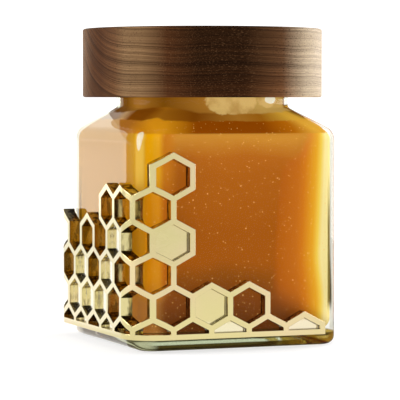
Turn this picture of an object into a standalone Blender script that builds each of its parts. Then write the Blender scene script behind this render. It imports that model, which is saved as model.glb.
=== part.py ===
"""Square glass jar of honey with a turned wooden lid and a cast honeycomb sleeve.

The jar stands on its base at the origin, upright along +Z.  Its front face looks
towards -Y and its left face towards -X.  The sleeve wraps the corner between these
two faces and runs on round the far corner of the left face.  All sizes are in metres.
"""

import math

import bmesh
import bpy
from mathutils import Matrix, Vector

# Clearance between pieces that touch
GAP = 0.0003

# Jar body: a rounded square in plan
BODY_HALF = 0.03805
BODY_CORNER = 0.0073
BASE_ROUND = 0.0030
WALL = 0.0020
BASE_THICKNESS = 0.0055
SLOPE_SINK = 0.62  # how far the inner slope lies below the outer one, in wall thicknesses
FLOOR_ROUND = 0.0040

# Shoulder and neck: a straight slope between two fillets, from the square to a circle
SHOULDER_LINE_LOW = 0.07615
SHOULDER_LINE_HIGH = 0.08465
SHOULDER_ROUND = 0.0054
NECK_FILLET = 0.0020
NECK_RADIUS = 0.0312
NECK_WALL = 0.0026
RIM_HEIGHT = 0.0976
RIM_ROUND = 0.0010

# Honey
HONEY_LEVEL = 0.0838

# Lid: a thick turned disc with a blind recess that takes the neck
LID_RADIUS = 0.0435
LID_BOTTOM = 0.0881
LID_HEIGHT = 0.0248
LID_EDGE = 0.0009
RECESS_RADIUS = 0.0320

# Sleeve: a lattice of flattened hexagons, cast in one piece
SLEEVE_DEPTH = 0.0043
BEND_MEASURE = 0.0108  # radius at which the bends keep the lattice's true length
STRUT = 0.00205
CELL_PITCH = 0.0141
CELL_SIDE = 0.0076
CELL_RISE = 0.0037
LATTICE_SHIFT = -0.00235
ROW_FIVE_HEIGHT = 0.0155
BAR_BOTTOM = 0.0044
BAR_TOP = 0.0064
PLATE_RECESS = 0.0018

# Cells by row, counted in half pitches from the near corner, positive to the right
OPEN_CELLS = {
    1: (2,),
    2: (1, -1, -3),
    3: (0, -6, -10),
    4: (1, -1, -5, -9),
    5: (6, 2, 0, -2, -10, -12),
    6: (7, 3, 1, -1, -5, -9, -13),
}
FILLED_CELLS = {
    3: (2, -2),
    4: (-3, -7, -11),
    5: (4, -4, -6, -8),
    6: (9, 5, -3, -7, -11),
}
LAST_FULL_ROW = 5
HALF_ROW = 6

# What follows from these sizes
QUARTER_TURN = math.pi / 2.0
FACE_RUN = 2.0 * (BODY_HALF - BODY_CORNER)
BEND_RUN = QUARTER_TURN * BEND_MEASURE

# Facets, and the angle in degrees from which an edge between them is sharp
ARC_STEPS = 14
ROUND_STEPS = 4
FILLET_STEPS = 5
LID_SEGMENTS = 96
LID_EDGE_STEPS = 2
BEND_STEPS = 8
TURNED_SHARP = 40.0
CAST_SHARP = 25.0
MICROMETRES = 1e6  # in a metre


def clear_scene():
    for item in list(bpy.data.objects):
        bpy.data.objects.remove(item, do_unlink=True)


def make_material(name, colour, roughness, metallic=0.0, transmission=0.0):
    material = bpy.data.materials.new(name)
    material.use_nodes = True
    shader = material.node_tree.nodes["Principled BSDF"]
    shader.inputs["Base Color"].default_value = (*colour, 1.0)
    shader.inputs["Roughness"].default_value = roughness
    shader.inputs["Metallic"].default_value = metallic
    shader.inputs["Transmission Weight"].default_value = transmission
    return material


def add_object(name, mesh_data, material, sharp_angle=TURNED_SHARP):
    """Turn a bmesh into a named object with soft round surfaces."""
    mesh = bpy.data.meshes.new(name)
    mesh_data.to_mesh(mesh)
    mesh_data.free()
    mesh.shade_smooth()
    mesh.set_sharp_from_angle(angle=math.radians(sharp_angle))
    mesh.materials.append(material)
    item = bpy.data.objects.new(name, mesh)
    bpy.context.scene.collection.objects.link(item)
    return item


def rounded_square(half, corner, height):
    """Ring of points round a square with rounded corners; it is a circle when half equals corner."""
    step = math.radians(90.0 / (ARC_STEPS + 1))
    centre = half - corner
    ring = []
    for quarter in range(4):
        turn = Matrix.Rotation(quarter * QUARTER_TURN, 3, "Z")
        for index in range(ARC_STEPS + 1):
            angle = (index + 0.5) * step
            point = Vector((centre + corner * math.cos(angle), centre + corner * math.sin(angle), height))
            ring.append(turn @ point)
    return ring


def circle(radius, height):
    ring = []
    for index in range(LID_SEGMENTS):
        angle = 2.0 * math.pi * index / LID_SEGMENTS
        ring.append(Vector((radius * math.cos(angle), radius * math.sin(angle), height)))
    return ring


def close_rings(rings):
    """Join rings of equal length into one closed body, capped at the first and the last ring."""
    body = bmesh.new()
    loops = [[body.verts.new(point) for point in ring] for ring in rings]
    for lower, upper in zip(loops, loops[1:]):
        for index in range(len(lower)):
            following = (index + 1) % len(lower)
            body.faces.new((lower[index], lower[following], upper[following], upper[index]))
    body.faces.new(list(reversed(loops[0])))
    body.faces.new(loops[-1])
    return body


def shoulder_outline(run, low, high, low_round, high_round):
    """Points (distance in from the body, height) along fillet, straight slope and fillet."""
    slope = math.atan2(high - low, run)
    turn = QUARTER_TURN - slope
    points = []
    start = low - low_round * math.tan(turn / 2.0)
    for index in range(FILLET_STEPS + 1):
        angle = turn * index / FILLET_STEPS
        points.append((low_round * (1.0 - math.cos(angle)), start + low_round * math.sin(angle)))
    end = high + high_round * math.tan(turn / 2.0)
    for index in range(FILLET_STEPS, -1, -1):
        angle = turn * index / FILLET_STEPS
        points.append((run - high_round * (1.0 - math.cos(angle)), end - high_round * math.sin(angle)))
    return points


def jar_rings(half, corner, neck, low, high, low_round, high_round):
    """Rings of the shoulder, blending the rounded square of the body into the circle of the neck."""
    run = (half - corner) * math.sqrt(2.0) + corner - neck
    rings = []
    for inward, height in shoulder_outline(run, low, high, low_round, high_round):
        blend = inward / run
        rings.append(rounded_square(
            half + (neck - half) * blend,
            corner + (neck - corner) * blend,
            height,
        ))
    return rings


def quarter_round(radius, steps):
    """Points (distance in from the wall, rise) of a round from a flat face up to an upright wall."""
    for index in range(steps + 1):
        angle = QUARTER_TURN * index / steps
        yield radius * (1.0 - math.sin(angle)), radius * (1.0 - math.cos(angle))


def rounded_foot(half, corner, radius, height):
    """Rings of a quarter round from a flat bottom up to the upright wall."""
    return [
        rounded_square(half - inward, corner - inward, height + rise)
        for inward, rise in quarter_round(radius, ROUND_STEPS)
    ]


def inner_jar_rings(clearance):
    """Rings of the inside of the jar, from the floor to the foot of the neck, shrunk by a clearance."""
    inset = WALL + clearance
    half = BODY_HALF - inset
    corner = BODY_CORNER - WALL + clearance
    neck = NECK_RADIUS - NECK_WALL - clearance
    rings = rounded_foot(half, corner, min(FLOOR_ROUND, corner), BASE_THICKNESS + clearance)
    rings += jar_rings(
        half,
        corner,
        neck,
        SHOULDER_LINE_LOW - inset * SLOPE_SINK,
        SHOULDER_LINE_HIGH - inset * SLOPE_SINK,
        SHOULDER_ROUND - WALL,
        NECK_FILLET,
    )
    return rings


def build_glass(material):
    rings = rounded_foot(BODY_HALF, BODY_CORNER, BASE_ROUND, 0.0)
    rings += jar_rings(
        BODY_HALF,
        BODY_CORNER,
        NECK_RADIUS,
        SHOULDER_LINE_LOW,
        SHOULDER_LINE_HIGH,
        SHOULDER_ROUND,
        NECK_FILLET,
    )
    bore = NECK_RADIUS - NECK_WALL
    for radius, height in (
        (NECK_RADIUS, RIM_HEIGHT - RIM_ROUND),
        (NECK_RADIUS - RIM_ROUND, RIM_HEIGHT),
        (bore + RIM_ROUND, RIM_HEIGHT),
        (bore, RIM_HEIGHT - RIM_ROUND),
    ):
        rings.append(rounded_square(radius, radius, height))
    rings += reversed(inner_jar_rings(0.0))
    return add_object("glass_jar", close_rings(rings), material)


def build_honey(material):
    """The filling: the inside of the jar, cut level."""
    inner = inner_jar_rings(GAP)
    rings = [ring for ring in inner if ring[0].z < HONEY_LEVEL]
    below, above = rings[-1], inner[len(rings)]
    share = (HONEY_LEVEL - below[0].z) / (above[0].z - below[0].z)
    rings.append([low.lerp(high, share) for low, high in zip(below, above)])
    return add_object("honey", close_rings(rings), material)


def build_lid(material):
    top = LID_BOTTOM + LID_HEIGHT
    edge = list(quarter_round(LID_EDGE, LID_EDGE_STEPS))
    profile = [(RECESS_RADIUS, RIM_HEIGHT + GAP), (RECESS_RADIUS, LID_BOTTOM)]
    profile += [(LID_RADIUS - inward, LID_BOTTOM + rise) for inward, rise in edge]
    profile += [(LID_RADIUS - inward, top - rise) for inward, rise in reversed(edge)]
    rings = [circle(radius, height) for radius, height in profile]
    return add_object("wood_lid", close_rings(rings), material)


class Lattice:
    """Flat drawing of the sleeve: struts, junctions and plates between hexagonal cells.

    A place along the wrap is counted in half pitches and a height in metres.  Every
    cell has an inner outline half a strut inside its hexagon, also cells that are
    missing, so that the outer struts are as wide as the others.
    """

    def __init__(self):
        self.half = CELL_PITCH / 2.0
        self.row_pitch = CELL_SIDE + CELL_RISE
        lean = math.atan2(CELL_RISE, self.half)
        self.inner_half = self.half - STRUT / 2.0
        self.inner_side = CELL_SIDE / 2.0 + STRUT / 2.0 * (math.tan(lean) - 1.0 / math.cos(lean))
        self.inner_apex = CELL_SIDE / 2.0 + CELL_RISE - STRUT / 2.0 / math.cos(lean)
        self.cells = {(k, row) for rows in (OPEN_CELLS, FILLED_CELLS) for row in rows for k in rows[row]}
        self.filled = {(k, row) for row in FILLED_CELLS for k in FILLED_CELLS[row]}

    def centre(self, cell):
        k, row = cell
        return LATTICE_SHIFT + k * self.half, ROW_FIVE_HEIGHT + (LAST_FULL_ROW - row) * self.row_pitch

    def corner_point(self, cell, corner, half, side, apex):
        """A corner of a cell's outline of this size, with corner 0 at the top and the others clockwise."""
        u, z = self.centre(cell)
        across = (0, 1, 1, 0, -1, -1)[corner] * half
        upright = (0, 1, -1, 0, -1, 1)[corner] * side
        end = (1, 0, 0, -1, 0, 0)[corner] * apex
        return u + across, z + upright + end

    def inner_corner(self, cell, corner):
        return self.corner_point(cell, corner, self.inner_half, self.inner_side, self.inner_apex)

    def outer_corner(self, cell, corner):
        """Corner of the outline that lies a whole strut outside the inner one."""
        side, apex = CELL_SIDE / 2.0, CELL_SIDE / 2.0 + CELL_RISE
        middle = self.corner_point(cell, corner, self.half, side, apex)
        inner = self.inner_corner(cell, corner)
        return 2.0 * middle[0] - inner[0], 2.0 * middle[1] - inner[1]

    def foot(self, cell, side):
        """Corner of a half cell on top of the bottom bar; side is -1 or 1."""
        u, _ = self.centre(cell)
        return u + side * self.inner_half, BAR_TOP

    def outline(self, cell):
        if cell[1] == HALF_ROW:
            corners = [self.inner_corner(cell, corner) for corner in (5, 0, 1)]
            return corners + [self.foot(cell, 1), self.foot(cell, -1)]
        return [self.inner_corner(cell, corner) for corner in range(6)]

    def struts(self, cell):
        """Struts round one cell, each as the four inner corners of the two cells beside it."""
        k, row = cell
        inner = self.inner_corner
        right = (k + 2, row)
        left = (k - 2, row)
        upper_right = (k + 1, row - 1)
        upper_left = (k - 1, row - 1)
        yield inner(cell, 0), inner(cell, 1), inner(upper_right, 3), inner(upper_right, 4)
        yield inner(cell, 5), inner(cell, 0), inner(upper_left, 2), inner(upper_left, 3)
        if row == HALF_ROW:
            yield inner(cell, 1), self.foot(cell, 1), self.foot(right, -1), inner(right, 5)
            yield inner(left, 1), self.foot(left, 1), self.foot(cell, -1), inner(cell, 5)
            return
        lower_right = (k + 1, row + 1)
        lower_left = (k - 1, row + 1)
        yield inner(cell, 1), inner(cell, 2), inner(right, 4), inner(right, 5)
        yield inner(left, 1), inner(left, 2), inner(cell, 4), inner(cell, 5)
        yield inner(cell, 2), inner(cell, 3), inner(lower_right, 5), inner(lower_right, 0)
        yield inner(cell, 3), inner(cell, 4), inner(lower_left, 0), inner(lower_left, 1)

    def junctions(self, cell):
        """Triangles where struts meet at the cell's corners, and a tip where no other cell is near."""
        k, row = cell
        steps = ((-1, -1), (1, -1), (2, 0), (1, 1), (-1, 1), (-2, 0))
        for corner in (5, 0, 1) if row == HALF_ROW else range(6):
            beside = (steps[corner], steps[(corner + 1) % 6])
            before, after = ((k + across, row + down) for across, down in beside)
            left = self.inner_corner(before, (corner + 2) % 6)
            right = self.inner_corner(after, (corner + 4) % 6)
            yield self.inner_corner(cell, corner), right, left
            if before not in self.cells and after not in self.cells:
                yield left, right, self.outer_corner(cell, corner)

    def bar(self):
        """Bottom bar, split where the cells and the upright struts stand on it."""
        marks = set()
        for cell in self.cells:
            if cell[1] == HALF_ROW:
                u, _ = self.centre(cell)
                for middle in (u - self.half, u + self.half):
                    marks.update((on_grid(middle - STRUT / 2.0), on_grid(middle + STRUT / 2.0)))
        places = [mark / MICROMETRES for mark in sorted(marks)]
        for left, right in zip(places, places[1:]):
            yield (left, BAR_TOP), (right, BAR_TOP), (right, BAR_BOTTOM), (left, BAR_BOTTOM)

    def face_polygons(self):
        """Polygons of the sleeve's front face, without repeats."""
        found = {}
        for cell in sorted(self.cells):
            for polygon in list(self.struts(cell)) + list(self.junctions(cell)):
                key = frozenset(point_key(point) for point in polygon)
                found.setdefault(key, polygon)
        polygons = list(found.values()) + list(self.bar())
        return [anticlockwise(polygon) for polygon in polygons]

    def plate_polygons(self):
        return [anticlockwise(self.outline(cell)) for cell in sorted(self.filled)]


def on_grid(value):
    """Whole micrometres, so that shared corners are found as one."""
    return round(value * MICROMETRES)


def point_key(point):
    return on_grid(point[0]), on_grid(point[1])


def anticlockwise(polygon):
    area = sum(a[0] * b[1] - b[0] * a[1] for a, b in zip(polygon, list(polygon[1:]) + [polygon[0]]))
    return list(reversed(polygon)) if area < 0.0 else list(polygon)


def polygon_edges(polygon):
    keys = [point_key(point) for point in polygon]
    return list(zip(keys, keys[1:] + keys[:1]))


def flat_sleeve(lattice):
    """The sleeve laid out flat: along the wrap in x, depth in y and height in z."""
    body = bmesh.new()
    known = {}

    def vertex(key, depth):
        mark = (key, depth)
        if mark not in known:
            known[mark] = body.verts.new((key[0] / MICROMETRES, depth, key[1] / MICROMETRES))
        return known[mark]

    def add_face(keys_and_depths):
        body.faces.new([vertex(key, depth) for key, depth in keys_and_depths])

    faces = lattice.face_polygons()
    plates = lattice.plate_polygons()
    floor = SLEEVE_DEPTH - PLATE_RECESS
    for polygon in faces:
        keys = [point_key(point) for point in polygon]
        add_face([(key, SLEEVE_DEPTH) for key in keys])
        add_face([(key, 0.0) for key in reversed(keys)])
    plate_edges = set()
    for polygon in plates:
        keys = [point_key(point) for point in polygon]
        add_face([(key, floor) for key in keys])
        add_face([(key, 0.0) for key in reversed(keys)])
        plate_edges.update(polygon_edges(polygon))
    used = {edge for polygon in faces for edge in polygon_edges(polygon)}
    for start, end in sorted(used):
        if (end, start) in used:
            continue
        depth = floor if (end, start) in plate_edges else 0.0
        add_face([(end, SLEEVE_DEPTH), (start, SLEEVE_DEPTH), (start, depth), (end, depth)])
    return body


def wrap_point(along, depth, height):
    """Carry a point of the flat sleeve onto the jar, with the bends as short straight facets.

    The distance along the wrap is measured from the middle of the near corner, positive
    over the front face and negative over the left face.  In the bends it is measured a
    little below the outer face, so that the cells are wider there on the outside.
    """
    corner = BODY_CORNER + GAP
    reach = FACE_RUN / 2.0
    place = BEND_RUN / 2.0 - along
    if place < 0.0:
        return Vector((-reach - place, -reach - corner - depth, height))
    turn = Matrix.Identity(3)
    if place > BEND_RUN + FACE_RUN:
        place -= BEND_RUN + FACE_RUN
        turn = Matrix.Rotation(-QUARTER_TURN, 3, "Z")
    if place > BEND_RUN:
        return turn @ Vector((-reach - corner - depth, -reach + place - BEND_RUN, height))
    share = place / BEND_RUN * BEND_STEPS
    step = min(int(share), BEND_STEPS - 1)
    ends = []
    for index in (step, step + 1):
        angle = -QUARTER_TURN * (1.0 + index / BEND_STEPS)
        ends.append(Vector((
            -reach + (corner + depth) * math.cos(angle),
            -reach + (corner + depth) * math.sin(angle),
            height,
        )))
    return turn @ ends[0].lerp(ends[1], share - step)


def build_sleeve(material):
    """The casting, scored along the facet lines of its two bends and then wrapped round the jar."""
    body = flat_sleeve(Lattice())
    for start in (BEND_RUN / 2.0, -BEND_RUN / 2.0 - FACE_RUN):
        for index in range(BEND_STEPS + 1):
            bmesh.ops.bisect_plane(
                body,
                geom=body.verts[:] + body.edges[:] + body.faces[:],
                dist=1.0 / MICROMETRES,
                plane_co=(start - BEND_RUN * index / BEND_STEPS, 0.0, 0.0),
                plane_no=(1.0, 0.0, 0.0),
            )
    for vertex in body.verts:
        vertex.co = wrap_point(*vertex.co)
    return add_object("honeycomb_sleeve", body, material, CAST_SHARP)


def main():
    clear_scene()
    build_glass(make_material("clear_glass", (0.92, 0.96, 0.93), roughness=0.02, transmission=1.0))
    build_honey(make_material("amber_honey", (0.62, 0.25, 0.03), roughness=0.15))
    build_lid(make_material("walnut", (0.12, 0.055, 0.025), roughness=0.45))
    build_sleeve(make_material("pale_gold", (0.82, 0.72, 0.42), roughness=0.14, metallic=1.0))


main()
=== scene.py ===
"""Looks of a square jar of honey: clear glass, amber honey, walnut lid and gold honeycomb sleeve."""

import math

import bpy
import numpy as np
from bpy.props import FloatProperty, FloatVectorProperty, IntProperty, PointerProperty
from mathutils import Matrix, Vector


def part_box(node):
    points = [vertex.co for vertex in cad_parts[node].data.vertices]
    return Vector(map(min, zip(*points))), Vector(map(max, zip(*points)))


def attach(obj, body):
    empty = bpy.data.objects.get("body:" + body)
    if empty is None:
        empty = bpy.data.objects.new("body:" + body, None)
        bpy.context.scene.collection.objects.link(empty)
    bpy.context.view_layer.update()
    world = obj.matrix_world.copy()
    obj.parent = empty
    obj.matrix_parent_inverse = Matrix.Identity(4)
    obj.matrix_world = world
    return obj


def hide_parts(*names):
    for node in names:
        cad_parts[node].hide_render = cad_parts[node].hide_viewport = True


bl_info = {
    "name": "Honey Jar",
    "version": (1, 0, 0),
    "blender": (4, 5, 0),
    "location": "3D View > Sidebar > Honey Jar",
    "description": "Builds a square jar of honey with a turned lid and a cast honeycomb sleeve",
    "category": "Object",
}

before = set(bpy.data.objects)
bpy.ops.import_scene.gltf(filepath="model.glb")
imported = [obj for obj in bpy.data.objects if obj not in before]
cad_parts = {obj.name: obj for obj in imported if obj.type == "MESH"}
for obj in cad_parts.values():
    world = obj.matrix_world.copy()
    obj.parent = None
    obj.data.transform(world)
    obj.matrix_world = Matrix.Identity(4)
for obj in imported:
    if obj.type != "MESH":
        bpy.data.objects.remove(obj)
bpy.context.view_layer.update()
GLASS_LOW, GLASS_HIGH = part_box("glass_jar")
HONEY_LOW, HONEY_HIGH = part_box("honey")
LID_LOW, LID_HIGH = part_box("wood_lid")
SLEEVE_LOW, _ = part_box("honeycomb_sleeve")
PAINTED_TONE_ATTRIBUTE = "side"

MM = 0.001
DEGREES = 360.0
FULL_TURN = 2.0 * math.pi
QUARTER_TURN = math.pi / 2.0
WHITE = (1.0, 1.0, 1.0)

# How far the inner slope of the shoulder lies below the outer one, in wall thicknesses
SLOPE_SINK = 0.62

# Lengths that the colour ramps of the glass foot and of the honey share out
FOOT_SPAN = 8.0 * MM
LEVEL_SPAN = 80.0 * MM
CORNER_SPAN = 36.0 * MM
NEAR_SPAN = 40.0 * MM

# End of the gloss on the left shoulder: share of the height, and share round the axis
GLOSS_FOOT = 73.0 * MM
GLOSS_SPAN = 12.5 * MM
LEFT_GLOSS = (
    (0.08, 0.42), (0.184, 0.433), (0.264, 0.39), (0.312, 0.29), (0.336, 0.24), (0.416, 0.16),
    (0.504, 0.11), (0.56, 0.12), (0.60, 0.19), (0.632, 0.27), (0.712, 0.31), (0.792, 0.33),
    (0.848, 0.38), (0.896, 0.45), (0.97, 0.13),
)

# Pale spots in the honey: middle, radii and whether they are white, where air shows or a highlight
# is painted, rather than a pale patch of painted light
PALE_SPOTS = (
    ((0.0002, -0.0287, 0.0862), (0.0100, 0.0100, 0.0043), False),
    ((0.0155, -0.0242, 0.0874), (0.0062, 0.0062, 0.0030), False),
    ((0.0170, -0.0232, 0.0874), (0.0034, 0.0040, 0.0015), True),
    # The last spot is a painted highlight on the near corner
    ((-0.0361, -0.0315, 0.0738), (0.0018, 0.0018, 0.0042), True),
)

# Crystals in the honey, fine and coarse: cells for each metre, radius in cells, weight
CRYSTALS = ((640.0, 0.19, 0.75), (330.0, 0.13, 0.7))

# Rings of the honey's top in the neck: mm in from the wall, and share of the lip's height
LIP_PROFILE = ((0.15, 0.98), (0.45, 0.9), (0.6, 0.6), (0.8, 0.3), (1.6, 0.08), (3.0, 0.0))
SURFACE_SHARES = (0.8, 0.6, 0.4, 0.2, 0.05)

# Where the walnut's rings start to bend up, measured towards the front
RING_BEND_START = 19.0 * MM

# The glass hardly bends light, so the honey's edge shows close to it; the front has little gloss
GLASS_IOR = 1.04
FRONT_GLOSS = 0.06

LID_FACETS = 256
FLOOR_FACETS = 64
FLOOR_RADIUS = 0.6
FLOOR_DROP = 0.2 * MM

# Soft panels of the studio: place, target, width and height, watts, colour
PANELS = {
    "left_card": ((-0.115, 0.3375, 0.20), (-0.058, 0.18, 0.20), (0.285, 0.34), 0.236, (1.0, 0.85, 0.53)),
    "left_softbox": ((-0.662, 0.228, 0.36), (0.0, 0.0, 0.36), (0.37, 0.60), 5.0, WHITE),
    "right_softbox": ((0.66, 0.18, 0.25), (0.0, 0.0, 0.10), (0.55, 0.60), 7.0, WHITE),
    "top_softbox": ((0.0, -0.1, 0.9), (0.0, 0.0, 0.1), (0.35, 0.35), 2.0, WHITE),
}

# Cells of the sleeve by row, counted in half pitches from the near corner, positive to the right
OPEN_CELLS = {
    1: (2,),
    2: (1, -1, -3),
    3: (0, -6, -10),
    4: (1, -1, -5, -9),
    5: (6, 2, 0, -2, -10, -12),
    6: (7, 3, 1, -1, -5, -9, -13),
}
FILLED_CELLS = {
    3: (2, -2),
    4: (-3, -7, -11),
    5: (4, -4, -6, -8),
    6: (9, 5, -3, -7, -11),
}
FULL_ROWS = 5
HALF_ROW = 6

# Corners of a cell: 0 at the top, the others clockwise; a side joins a corner to the next one
CORNER_ACROSS = np.array([0, 1, 1, 0, -1, -1], float)
CORNER_SIDE = np.array([0, 1, -1, 0, -1, 1], float)
CORNER_APEX = np.array([1, 0, 0, -1, 0, 0], float)
NEIGHBOUR_ALONG = np.array([1, 2, 1, -1, -2, -1], float)
NEIGHBOUR_UP = np.array([1, 0, -1, -1, 0, 1], float)

# Tones of the sleeve, from -1 for a painted pale sheen to 1 for painted shade.  Walls have one at the lip
# and one at the glass; plates on the front have theirs by mm over the middle of the lowest full row.
NEARSIDE_LIT_WALL = (0.25, 0.35)
OTHER_SHADED_WALL = (0.45, 0.95)
PLATE_TONES = np.array([(-6.0, -0.22), (-4.8, 0.0), (12.0, 0.0), (20.0, -0.05)])
# Painted pale sheen on the left face's filled cells and fronts
LEFT_CELL_SHEEN = -1.0
LEFT_STRUT_SHEEN = -0.20
LEFT_FRONT_END = -8.0 * MM


def display(red, green, blue):
    """Colour as a screen shows it, from 0 to 255, turned into the linear values that shaders use."""
    shown = np.array([red, green, blue]) / 255.0
    linear = np.where(shown <= 0.04045, shown / 12.92, ((shown + 0.055) / 1.055) ** 2.4)
    return tuple(float(value) for value in linear)


def length_property(name, description, default):
    return FloatProperty(name=name, description=description, default=default, unit="LENGTH", precision=4)


def angle_property(name, description, degrees):
    return FloatProperty(name=name, description=description, default=math.radians(degrees), subtype="ANGLE")


def colour_property(name, description, default):
    return FloatVectorProperty(
        name=name, description=description, default=default, subtype="COLOR", size=3, min=0.0, max=1.0
    )


def shown_property(name, description, *shown):
    """Colour property from the values that a screen shows."""
    return colour_property(name, description, display(*shown))


class HoneyJarSizes(bpy.types.PropertyGroup):
    """Sizes of the jar, its filling, its lid and its sleeve."""

    body_corner: length_property("Body corner", "Radius of the body's upright corners", 0.0073)
    base_round: length_property("Base rounding", "Radius round the foot of the body", 0.0030)
    wall: length_property("Wall", "Thickness of the glass wall", 0.0020)
    inner_corner: length_property("Inner corner", "Radius of the upright corners inside", 0.0052)
    floor_round: length_property("Floor rounding", "Radius round the floor inside", 0.0038)
    shoulder_low: length_property("Shoulder foot", "Height where the shoulder's line meets the body", 0.07615)
    shoulder_high: length_property("Shoulder top", "Height where the shoulder's line meets the neck", 0.08465)
    shoulder_round: length_property("Shoulder rounding", "Radius between body and shoulder", 0.0054)
    neck_fillet: length_property("Neck fillet", "Radius between shoulder and neck", 0.0020)
    neck_radius: length_property("Neck radius", "Outer radius of the neck", 0.0312)
    neck_wall: length_property("Neck wall", "Thickness of the glass in the neck", 0.0026)
    honey_reach: length_property("Honey reach", "How far the honey reaches into the wall", 0.00015)
    lid_edge: length_property("Lid edge", "Radius on the lid's edges", 0.0008)
    recess_radius: length_property("Lid recess", "Radius of the recess under the lid", 0.0320)
    strut: length_property("Strut", "Width of the sleeve's struts", 0.00205)
    cell_pitch: length_property("Cell pitch", "Distance between the middles of two cells in a row", 0.0141)
    cell_side: length_property("Cell side", "Length of a cell's upright side", 0.0076)
    cell_rise: length_property("Cell rise", "Height of a cell's slanted side", 0.0037)
    lattice_shift: length_property("Lattice shift", "Shift of the cells along the wrap", -0.00235)
    row_five: length_property("Row height", "Height of the middle of the lowest full row", 0.0155)
    bar_top: length_property("Bar top", "Height of the top of the bottom bar", 0.0064)
    plate_recess: length_property("Plate recess", "Depth of the filled cells below the struts", 0.0018)
    bend_measure: length_property("Bend measure", "Radius at which the bends keep their true length", 0.0108)
    bend_lean: angle_property("Bend lean", "How far the struts' walls lean over in the bends", 11.0)
    sleeve_gap: length_property("Sleeve gap", "Clearance between the sleeve and the glass", 0.0003)
    sleeve_edge: length_property("Sleeve edge", "Radius on the sleeve's edges", 0.00022)
    strut_steps: IntProperty(name="Strut steps", description="Facets along one strut", default=6, min=1)


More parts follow.
